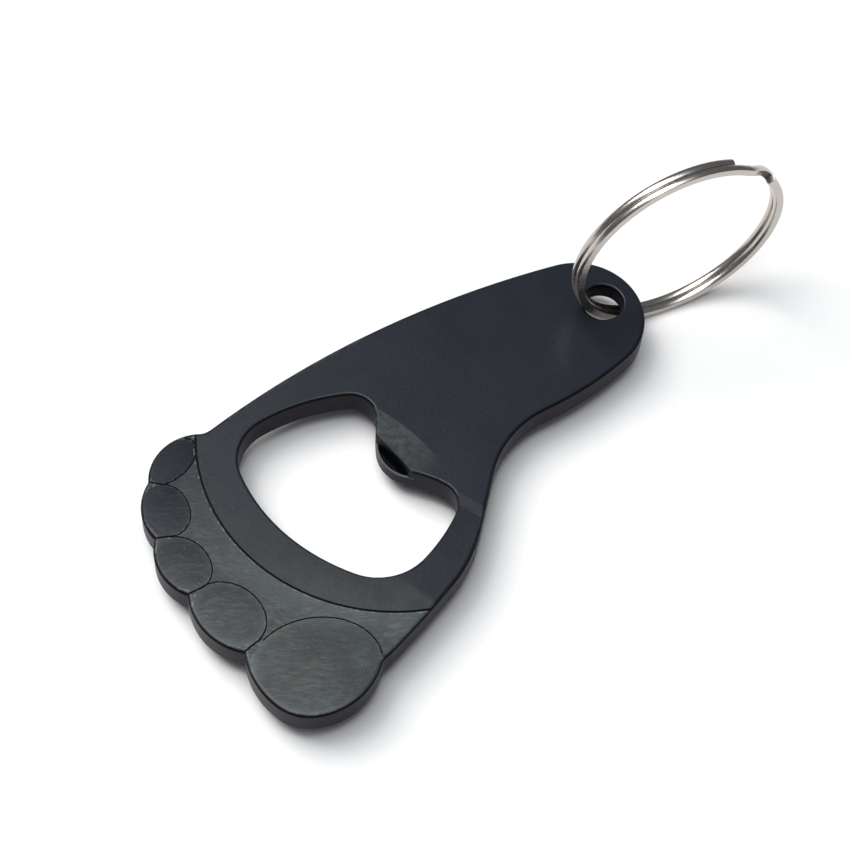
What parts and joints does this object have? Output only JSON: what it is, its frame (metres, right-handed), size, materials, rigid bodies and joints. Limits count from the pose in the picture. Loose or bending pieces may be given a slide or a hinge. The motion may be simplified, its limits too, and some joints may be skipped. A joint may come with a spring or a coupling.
{
  "type": "keychain bottle opener",
  "caption": "Flat foot-shaped bottle opener with an oval cap opening, a cap tab, toe pads and a split key ring through its heel.",
  "frame": {"origin": "on the plate's flat underside, in the middle of the instep", "axes": "+X from the toes to the heel and the key ring, +Y from the big toe's side to the little toe's side, +Z out of the face with the toe pads"},
  "size_m": [0.0779, 0.0367, 0.025],
  "materials": {
    "black_coating": "satin blue-black coating over cast metal, glossier on the rounded toe edges",
    "nickel_plating": "bright nickel plating with light wear"
  },
  "bodies": {
    "plate": {"foot_plate": "black_coating"},
    "ring": {"split_ring": "nickel_plating"}
  },
  "joints": [
    {"name": "ring_swivel", "type": "hinge", "parent": "plate", "child": "ring", "pos_m": [0.02, -0.008, 0.00165], "axis": [0, 0, 1], "range_deg": [-120, 130]}
  ]
}
